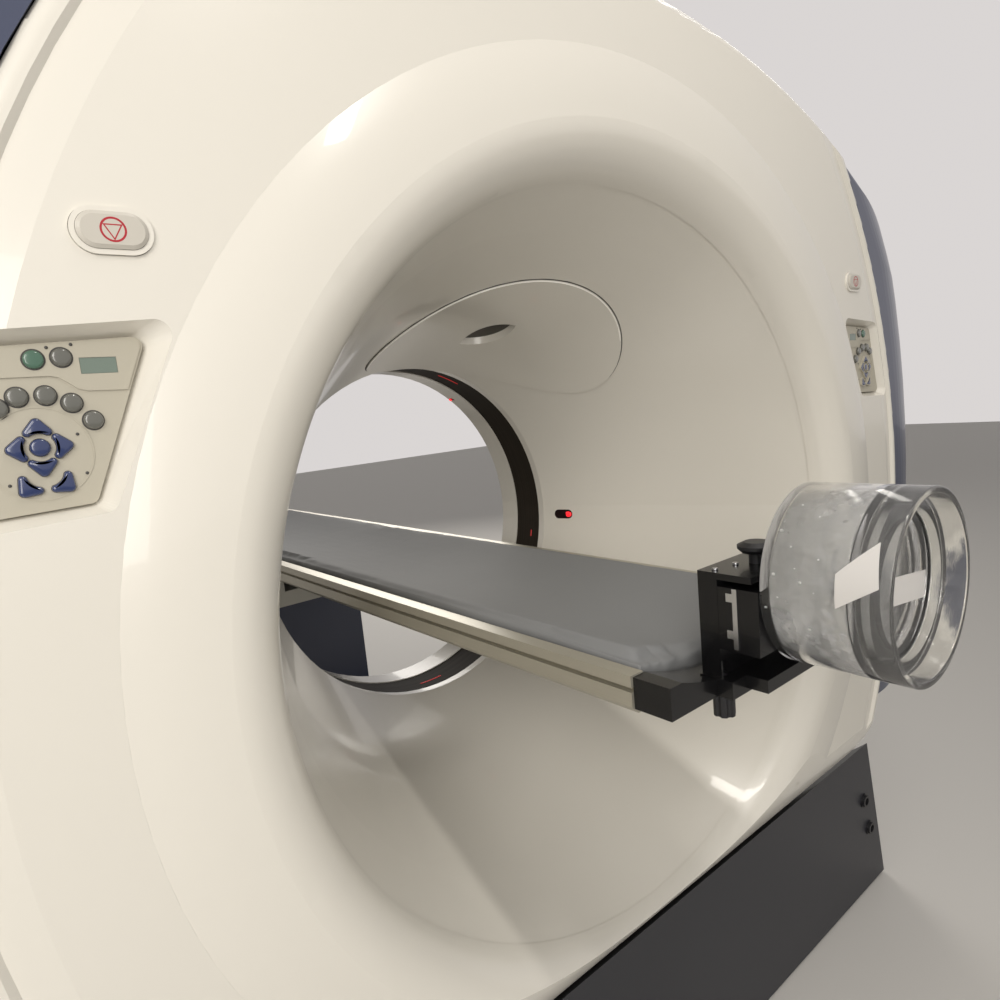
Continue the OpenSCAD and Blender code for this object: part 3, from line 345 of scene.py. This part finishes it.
def flatRing(radius, width, place, thickness, sides=48, turn=0.0):
    # Flat ring or outline that faces the front, standing on the surface behind it
    unselect()
    bpy.ops.mesh.primitive_circle_add(vertices=sides, radius=radius, fill_type="NGON", location=place,
                                      rotation=(math.pi / 2, turn, 0))
    piece = bpy.context.object
    editAll()
    bpy.ops.mesh.inset(thickness=width)
    bpy.ops.mesh.delete(type="FACE")
    bpy.ops.object.mode_set(mode="OBJECT")
    piece.modifiers.new("thick", "SOLIDIFY").thickness = thickness
    applyAll(piece)
    bpy.ops.object.transform_apply(location=True, rotation=True, scale=True)
    return piece


def joined(pieces):
    selectOnly(pieces[0])
    for piece in pieces[1:]:
        piece.select_set(True)
    bpy.ops.object.join()
    return bpy.context.object


def roundedPeg(radius, depth, place, bevel, steps=4, turn=(math.pi / 2, 0, 0), sides=40):
    # Short peg with its rims rounded over; by default it points to the front
    unselect()
    bpy.ops.mesh.primitive_cylinder_add(vertices=sides, radius=radius, depth=depth, location=place,
                                        rotation=turn)
    piece = bpy.context.object
    roundEdges(piece, isSharp, bevel, steps)
    bpy.ops.object.transform_apply(location=True, rotation=True, scale=True)
    return piece


axisHeight = 1.02
sides = ((-1, "left"), (1, "right"))

# Blue direction keys: rims rounded over, so that they catch the light
keyForm = {"round": 0.0022, "steps": 4, "rightGrow": 0.0006, "smooth": 40}
rimLevel = min(v.co.y for v in nodes["key_centre"].data.vertices) + 0.0001


def roundKey(key):
    roundEdges(key, lambda edge: all(v.co.y < rimLevel for v in edge.verts), keyForm["round"],
               keyForm["steps"])


for name in blueKeys:
    key = copyOf(name, name + "_dome")
    roundKey(key)
    settle(key, name + "_dome", name + "_cap", keyBlue, keyForm["smooth"])
    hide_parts(name)
print("keys rounded")

# Grey keys and the green key (the last place): domed caps with dark rings. Places are in
# millimetres across and up from the panel's middle, on its plate or on the step above it.
panelKeys = {"centreX": 0.722, "centreZ": axisHeight + 0.261, "plate": -0.668, "step": -0.6695,
             "stepFrom": 55, "radius": 0.0072, "rise": 0.0044, "sunk": 0.001, "round": 0.00208,
             "ringWidth": 0.0011, "ringHeight": 0.0004, "smooth": 50,
             "places": ((-23, 32), (-9, 40), (10, 40), (27, 33), (40, 18), (25, 69), (6, 68))}
lampDots = {"radius": 0.0013, "depth": 0.0008, "lift": 0.0003, "round": 0.0002, "smooth": 50,
            "places": ((16, 77), (33, 79), (27, 8), (-27, 6), (29, -24), (-24, -27))}


def onPanel(side, across, height):
    x = side * (panelKeys["centreX"] - across / 1000)
    level = panelKeys["step"] if height > panelKeys["stepFrom"] else panelKeys["plate"]
    return x, level, panelKeys["centreZ"] + height / 1000


for side, word in sides:
    caps, rings, dots = [], [], []
    for across, height in panelKeys["places"]:
        x, level, z = onPanel(side, across, height)
        front = panelKeys["plate"] - panelKeys["rise"]
        back = level + panelKeys["sunk"]
        caps.append(roundedPeg(panelKeys["radius"], back - front, (x, (back + front) / 2, z),
                               panelKeys["round"]))
        rings.append(flatRing(panelKeys["radius"] + panelKeys["ringWidth"], panelKeys["ringWidth"],
                              (x, level - panelKeys["ringHeight"] / 2, z), panelKeys["ringHeight"],
                              sides=40))
    settle(caps.pop(), word + "_green_key", "gantry", keyGreen, panelKeys["smooth"])
    settle(joined(caps), word + "_grey_keys", "gantry", keyGrey, panelKeys["smooth"])
    settle(joined(rings), word + "_key_rings", "gantry", lineDark, panelKeys["smooth"])
    for across, height in lampDots["places"]:
        x, level, z = onPanel(side, across, height)
        dots.append(roundedPeg(lampDots["radius"], lampDots["depth"], (x, level - lampDots["lift"], z),
                               lampDots["round"], steps=1, sides=12))
    settle(joined(dots), word + "_lamp_dots", "gantry", lineDark, lampDots["smooth"])

# The right panel's blue keys: mirrored and slightly larger copies of the left panel's
rightKeys = []
for name in blueKeys:
    key = copyOf(name, name + "_right")
    for vertex in key.data.vertices:
        vertex.co.x = -vertex.co.x
    faceOutward()
    roundKey(key)
    key.modifiers.new("grow", "DISPLACE").strength = keyForm["rightGrow"]
    applyAll(key)
    rightKeys.append(key)
settle(joined(rightKeys), "right_blue_keys", "gantry", keyBlue, keyForm["smooth"])
print("panel keys done")

# Emergency stops: a plain red ring and a plain red outline of a triangle on each button
stopMark = {"x": 0.648, "y": -0.6881, "z": axisHeight + 0.427, "height": 0.0004, "ring": 0.0098,
            "ringLine": 0.0016, "triangle": 0.0085, "triangleLine": 0.00096}
for side, word in sides:
    place = (side * stopMark["x"], stopMark["y"], stopMark["z"])
    ring = flatRing(stopMark["ring"], stopMark["ringLine"], place, stopMark["height"])
    triangle = flatRing(stopMark["triangle"], stopMark["triangleLine"], place, stopMark["height"],
                        sides=3, turn=math.pi)
    settle(joined([ring, triangle]), word + "_stop_mark", "stop_button_" + word, markRed)
print("stop marks done")

# Seam all round the leaf-shaped panel, and a rounded edge on the side away from the bore, painted
# lighter than the cover and faintly glowing as a highlight. Angles are in degrees, scales are of the
# panel's own outline, and lifts are off the flare towards the axis.
leaf = {"centre": (0.095, -0.242), "half": (0.252, 0.164), "turn": -30, "every": 3,
        "seam": 0.001, "seamScale": 1.006, "seamLift": 0.0004,
        "edge": 0.0015, "edgeScale": 0.993, "edgeLift": 0.0026, "edgeFrom": 186, "edgeTo": 348}
flare = {"boreRadius": 0.35, "start": 0.06, "slope": 0.2 / 0.586, "margin": 0.003}


def onFlare(x, y, lift):
    # Point on the flare above x and y, lifted towards the axis
    radius = flare["boreRadius"] + flare["slope"] * (-y - flare["start"]) - lift
    return Vector((x, y, axisHeight + math.sqrt(radius * radius - x * x)))


def onLeaf(degrees, scale, lift):
    angle, turn = math.radians(degrees), math.radians(leaf["turn"])
    across, along = leaf["half"][0] * scale * math.cos(angle), leaf["half"][1] * scale * math.sin(angle)
    x = leaf["centre"][0] + across * math.cos(turn) - along * math.sin(turn)
    y = leaf["centre"][1] + across * math.sin(turn) + along * math.cos(turn)
    return onFlare(x, min(y, -flare["start"] - flare["margin"]), lift)


def tubeAlong(name, points, thickness, closed, material, body):
    # Round strip that follows the points
    data = bpy.data.curves.new(name, "CURVE")
    data.dimensions = "3D"
    data.bevel_depth = thickness
    data.bevel_resolution = 2
    data.resolution_u = 2
    data.use_fill_caps = not closed
    spline = data.splines.new("POLY")
    spline.points.add(len(points) - 1)
    for target, point in zip(spline.points, points):
        target.co = (*point, 1)
    spline.use_cyclic_u = closed
    piece = bpy.data.objects.new(name, data)
    bpy.context.scene.collection.objects.link(piece)
    selectOnly(piece)
    bpy.ops.object.convert(target="MESH")
    piece = bpy.context.object
    editAll()
    bpy.ops.mesh.remove_doubles(threshold=0.000005)
    bpy.ops.mesh.normals_make_consistent(inside=False)
    bpy.ops.object.mode_set(mode="OBJECT")
    return settle(piece, name, body, material, smooth=60)


seamLine = [onLeaf(degrees, leaf["seamScale"], leaf["seamLift"]) for degrees in range(0, 360, leaf["every"])]
edgeLine = [onLeaf(degrees, leaf["edgeScale"], leaf["edgeLift"])
            for degrees in range(leaf["edgeFrom"], leaf["edgeTo"] + 1, leaf["every"])]
tubeAlong("leafSeam", seamLine, leaf["seam"], True, lineDark, "gantry")
# The edge strip carries a painted highlight: lighter than the cover and faintly glowing
tubeAlong("leafEdgeHighlight", edgeLine, leaf["edge"], False, paintedHighlightEdge, "gantry")

# Red light of the lasers in the scan window: short lit strips on its inner face, each with the
# angle of its middle, its y and its length in degrees
glow = {"radius": 0.3525, "thickness": 0.0016, "parts": 12,
        "spots": ((66.5, -0.008, 9), (-89, -0.008, 9), (-12, -0.012, 2.5))}
for number, (angle, y, length) in enumerate(glow["spots"]):
    arc = [math.radians(angle - length / 2 + length * i / glow["parts"]) for i in range(glow["parts"] + 1)]
    points = [(glow["radius"] * math.cos(a), y, axisHeight + glow["radius"] * math.sin(a)) for a in arc]
    tubeAlong("windowGlow_%d" % number, points, glow["thickness"], False, glowRed, "gantry")
print("leaf and glow done")

# Laser lenses: on the side windows of the flare, drawn out along the wall, and above in the tunnel
lens = {"y": -0.1225, "z": axisHeight - 0.0225, "radius": 0.0065, "deep": 0.005, "round": 0.0015,
        "long": 1.45, "wall": 0.3722, "far": (0.2128, 0.094, 1.2968), "farRadius": 0.0036,
        "farDeep": 0.003, "farRound": 0.0008, "smooth": 50}
for side, word in sides:
    piece = roundedPeg(lens["radius"], lens["deep"], (0, 0, 0), lens["round"], turn=(0, math.pi / 2, 0))
    for vertex in piece.data.vertices:
        vertex.co = (vertex.co.x + side * lens["wall"], vertex.co.y * lens["long"] + lens["y"],
                     vertex.co.z + lens["z"])
    settle(piece, word + "_laser_lens", "gantry", laserRed, lens["smooth"])
toAxis = math.atan2(lens["far"][0], lens["far"][2] - axisHeight)
farLens = roundedPeg(lens["farRadius"], lens["farDeep"], lens["far"], lens["farRound"], turn=(0, toAxis, 0))
settle(farLens, "far_laser_lens", "gantry", laserRed, lens["smooth"])

# Drum: water inside, bubbles in it, painted opaque white as glints, a bare label on the wall and a
# bare strip on the floor of the near recess. The label's corners are angles in degrees and y, the strip's
# are x and z.
drum = {"radius": 0.1075, "wall": 0.008, "height": 1.047, "far": -0.911, "rim": 0.0018, "rimSteps": 3,
        "water": 0.08494, "waterGap": 0.0004, "waterEnds": 0.001, "waterRound": 0.003, "recess": -1.0124,
        "label": ((163, -0.994), (143, -1.0315), (182, -0.995), (168, -1.037)),
        "strip": ((-0.044, 0.0122), (0.076, -0.0023), (-0.048, -0.019), (0.072, -0.034)),
        "labelThick": 0.0004, "labelLift": 0.0004}
water = roundedPeg(drum["radius"] - drum["wall"] - drum["waterGap"], drum["water"] - drum["waterEnds"],
                   (0, drum["far"] - drum["wall"] - drum["water"] / 2, drum["height"]),
                   drum["waterRound"], sides=96)
settle(water, "drumWater", "phantom_carriage", drumWater, smooth=50)
shell = copyOf("phantom_body", "drum_shell")
roundEdges(shell, isSharp, drum["rim"], drum["rimSteps"])
settle(shell, "drum_shell", "phantom_carriage", acrylic, smooth=35)
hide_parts("phantom_body")

# Small air bubbles on the inner wall of the water space, opaque white as painted glints: angle in degrees, y
# and radius
bubble = {"sunk": 0.001, "shape": (0.8, 1.3, 1.0),
          "places": ((140, -0.925, 0.0022), (150, -0.94, 0.0014), (168, -0.925, 0.0018),
                     (171, -0.955, 0.0016), (163, -0.948, 0.001), (182, -0.93, 0.0012),
                     (190, -0.915, 0.0014), (128, -0.96, 0.001), (176, -0.97, 0.0009),
                     (156, -0.972, 0.0011), (200, -0.962, 0.0018), (119, -0.935, 0.0012))}
bubbles = []
for angle, y, size in bubble["places"]:
    unselect()
    reach = drum["radius"] - drum["wall"] - bubble["sunk"]
    bpy.ops.mesh.primitive_ico_sphere_add(subdivisions=3, radius=size, location=(
        reach * math.cos(math.radians(angle)), y, drum["height"] + reach * math.sin(math.radians(angle))))
    piece = bpy.context.object
    editAll()
    bpy.ops.transform.resize(value=bubble["shape"], center_override=tuple(piece.location))
    bpy.ops.object.mode_set(mode="OBJECT")
    bubbles.append(piece)
settle(joined(bubbles), "drum_bubbles", "phantom_carriage", paintedGlintBubbles, smooth=60)


def labelPatch(name, steps, shape):
    # A grid from 0 to 1 both ways, laid out by shape and given its thickness
    unselect()
    bpy.ops.mesh.primitive_grid_add(x_subdivisions=steps, y_subdivisions=steps, size=1,
                                    location=(0, 0, 0))
    piece = bpy.context.object
    for vertex in piece.data.vertices:
        vertex.co = shape(vertex.co.x + 0.5, vertex.co.y + 0.5)
    thick = piece.modifiers.new("thick", "SOLIDIFY")
    thick.thickness = drum["labelThick"]
    thick.offset = 0
    applyAll(piece)
    faceOutward()
    return settle(piece, name, "phantom_carriage", labelWhite, smooth=40)


def between(corners, across, height):
    lowLeft, lowRight, highLeft, highRight = [Vector(c) for c in corners]
    return lowLeft.lerp(lowRight, across).lerp(highLeft.lerp(highRight, across), height)


def onWall(across, height):
    degrees, y = between(drum["label"], across, height)
    angle = math.radians(degrees)
    reach = drum["radius"] + drum["labelLift"]
    return Vector((reach * math.cos(angle), y, drum["height"] + reach * math.sin(angle)))


def onRecess(across, height):
    x, z = between(drum["strip"], across, height)
    return Vector((x, drum["recess"], drum["height"] + z))


labelPatch("drum_label", 12, onWall)
labelPatch("drum_strip", 2, onRecess)
print("drum done")

# Two plain screw heads on the holder's top flange
screw = {"places": ((-0.0996, -0.8507), (-0.0664, -0.8568)), "flange": axisHeight + 0.043,
         "radius": 0.0036, "depth": 0.0026, "round": 0.0005}
screws = [roundedPeg(screw["radius"], screw["depth"], (x, y, screw["flange"] + screw["depth"] / 2),
                     screw["round"], turn=(0, 0, 0), sides=24) for x, y in screw["places"]]
settle(joined(screws), "flange_screws", "couch_slide", steel, smooth=40)

# Couch pad: a loose cover over foam, blown up by a short cloth simulation and kept inside the tray
pad = {"voxel": 0.007, "grow": -0.03, "pressure": 2.5, "frames": 20, "cap": 0.009, "quality": 4,
       "mass": 0.2, "stretch": 12, "shear": 4, "bend": 0.15, "trayRadius": 0.5595,
       "trayCentre": axisHeight + 0.45, "halfWidth": 0.1872}


def makePad():
    piece = copyOf("couch_pad", "padCover")
    piece.modifiers.new("remesh", "REMESH").voxel_size = pad["voxel"]
    applyAll(piece)
    start = [v.co.copy() for v in piece.data.vertices]
    cloth = piece.modifiers.new("cloth", "CLOTH")
    cloth.settings.quality = pad["quality"]
    cloth.settings.mass = pad["mass"]
    cloth.settings.tension_stiffness = pad["stretch"]
    cloth.settings.compression_stiffness = pad["stretch"]
    cloth.settings.shear_stiffness = pad["shear"]
    cloth.settings.bending_stiffness = pad["bend"]
    cloth.settings.shrink_min = pad["grow"]
    cloth.settings.use_pressure = True
    cloth.settings.uniform_pressure_force = pad["pressure"]
    cloth.settings.effector_weights.gravity = 0
    cloth.point_cache.frame_start = 1
    cloth.point_cache.frame_end = pad["frames"]
    for step in range(1, pad["frames"] + 1):
        bpy.context.scene.frame_set(step)
    applyAll(piece)
    bpy.context.scene.frame_set(1)
    for vertex, home in zip(piece.data.vertices, start):
        move = vertex.co - home
        if move.length > pad["cap"]:
            vertex.co = home + move * (pad["cap"] / move.length)
        across, height = vertex.co.x, vertex.co.z - pad["trayCentre"]
        reach = math.hypot(across, height)
        if reach > pad["trayRadius"]:
            vertex.co.x *= pad["trayRadius"] / reach
            vertex.co.z = pad["trayCentre"] + height * pad["trayRadius"] / reach
        vertex.co.x = max(-pad["halfWidth"], min(pad["halfWidth"], vertex.co.x))
    finer = piece.modifiers.new("finer", "SUBSURF")
    finer.levels = 1
    finer.render_levels = 1
    applyAll(piece)
    return piece


padCover = settle(makePad(), "padCover", "couch_slide", padFabric, smooth=180)
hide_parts("couch_pad")
print("pad done", len(padCover.data.polygons))

# Camera, from the fit to the photograph
camera = {"place": (-0.78657, -1.32314, 1.28337), "lens": 25.057, "sensor": 36,
          "right": (0.77143343, -0.62932419, -0.09402938),
          "up": (0.16133937, 0.05050926, 0.98560561),
          "ahead": (0.6155161, 0.77549976, -0.1404993)}
lensData = bpy.data.cameras.new("camera")
lensData.lens = camera["lens"]
lensData.sensor_width = camera["sensor"]
cameraObject = bpy.data.objects.new("camera", lensData)
bpy.context.scene.collection.objects.link(cameraObject)
right, up, ahead = (Vector(camera[k]) for k in ("right", "up", "ahead"))
turn = Matrix((right, up, -ahead)).transposed().to_4x4()
cameraObject.matrix_world = Matrix.Translation(Vector(camera["place"])) @ turn
bpy.context.scene.camera = cameraObject

# Floor
studio = {"floor": (0.72, 0.70, 0.67), "floorRoughness": 0.6, "floorSize": 30, "floorLevel": -0.0005,
          "background": (0.70, 0.67, 0.66), "fill": 0.21, "fillColor": (1.0, 0.97, 0.93),
          "lampColor": (1, 0.96, 0.9)}
bpy.ops.mesh.primitive_plane_add(size=studio["floorSize"], location=(0, 0, studio["floorLevel"]))
floor = bpy.context.object
floor.name = "floor"
floorMaterial = bpy.data.materials.new("floorMaterial")
floorMaterial.use_nodes = True
floorShader = floorMaterial.node_tree.nodes["Principled BSDF"]
floorShader.inputs["Base Color"].default_value = (*studio["floor"], 1)
floorShader.inputs["Roughness"].default_value = studio["floorRoughness"]
floor.data.materials.append(floorMaterial)

# Background: the camera, reflections and glass see its colour, and the rest gets a weak fill light
world = bpy.data.worlds.new("studio")
bpy.context.scene.world = world
world.use_nodes = True
tree = world.node_tree
tree.nodes.clear()
leave = addNode(tree, "ShaderNodeOutputWorld")
mixWorld = addNode(tree, "ShaderNodeMixShader")
path = addNode(tree, "ShaderNodeLightPath")
fill = addNode(tree, "ShaderNodeBackground")
fill.inputs["Color"].default_value = (*studio["fillColor"], 1)
fill.inputs["Strength"].default_value = studio["fill"]
seen = addNode(tree, "ShaderNodeBackground")
seen.inputs["Color"].default_value = (*studio["background"], 1)
cameraOrGlossy = addNode(tree, "ShaderNodeMath", operation="MAXIMUM")
orGlass = addNode(tree, "ShaderNodeMath", operation="MAXIMUM")
tree.links.new(path.outputs["Is Camera Ray"], cameraOrGlossy.inputs[0])
tree.links.new(path.outputs["Is Glossy Ray"], cameraOrGlossy.inputs[1])
tree.links.new(cameraOrGlossy.outputs[0], orGlass.inputs[0])
tree.links.new(path.outputs["Is Transmission Ray"], orGlass.inputs[1])
tree.links.new(orGlass.outputs[0], mixWorld.inputs[0])
tree.links.new(fill.outputs[0], mixWorld.inputs[1])
tree.links.new(seen.outputs[0], mixWorld.inputs[2])
tree.links.new(mixWorld.outputs[0], leave.inputs["Surface"])


def areaLight(name, place, target, size, power, long=None):
    data = bpy.data.lights.new(name, "AREA")
    data.size = size
    if long:
        data.shape = "RECTANGLE"
        data.size_y = long
    data.energy = power
    data.color = studio["lampColor"]
    made = bpy.data.objects.new(name, data)
    bpy.context.scene.collection.objects.link(made)
    made.location = place
    made.rotation_euler = (Vector(target) - Vector(place)).to_track_quat("-Z", "Y").to_euler()


areaLight("keyLight", (-2.6, -2.7, 2.7), (-0.5, -0.5, 1.1), size=1.6, power=46)
areaLight("nearLight", (-1.3, -2.1, 1.5), (-0.4, -0.3, 1.1), size=0.9, power=12)
areaLight("topLight", (0.1, -1.6, 3.0), (0.1, -1.0, 1.0), size=0.14, power=15, long=1.6)
areaLight("rimLight", (1.45, -0.35, 2.6), (0, -1.0, 1.1), size=0.08, power=1.6, long=1.3)
areaLight("backLight", (2.5, 4.0, 3.2), (0, 0.6, 0.9), size=2.5, power=75)
bpy.context.scene.view_settings.view_transform = "Standard"
print("stage set")
